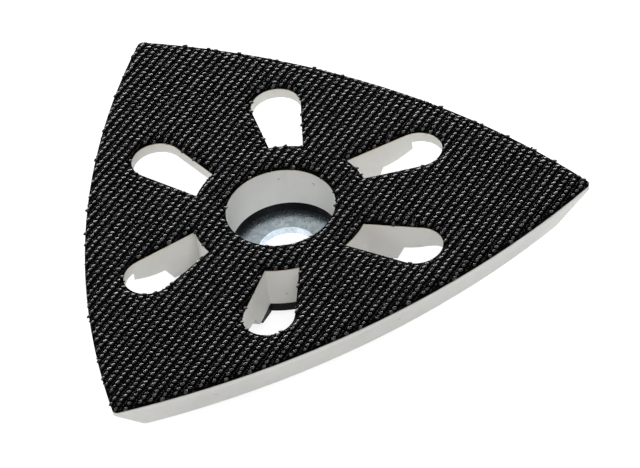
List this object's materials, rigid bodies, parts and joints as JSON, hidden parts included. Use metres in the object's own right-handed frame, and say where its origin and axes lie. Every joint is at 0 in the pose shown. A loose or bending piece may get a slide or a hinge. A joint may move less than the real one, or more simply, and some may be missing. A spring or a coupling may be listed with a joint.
{
  "type": "delta sanding pad",
  "caption": "Three-cornered backing pad for a delta sander: hook cloth face, dust slots, access bore, white moulding, black carrier and steel hub disc.",
  "frame": {"origin": "centre of the spindle hole in the hub disc, on the plane where the hub seats on the sander", "axes": "+Z along the spindle axis towards the hook face; +X towards one tip; the front tip is at 120 degrees from +X; +Y along the long side"},
  "size_m": [0.0874, 0.0926, 0.012],
  "materials": {
    "hook_cloth": "woven hook cloth, matt with small glints",
    "contact_glue": "dried amber contact glue",
    "white_moulding": "satin off-white moulding with small pits",
    "black_carrier": "black glass-filled plastic",
    "zinc_steel": "mottled blue-grey zinc plate"
  },
  "bodies": {
    "root": {"hook_facing": "hook_cloth", "glue_film": "contact_glue", "pad_body": "white_moulding", "hub_plate": "black_carrier", "hub_disc": "zinc_steel"}
  },
  "joints": []
}
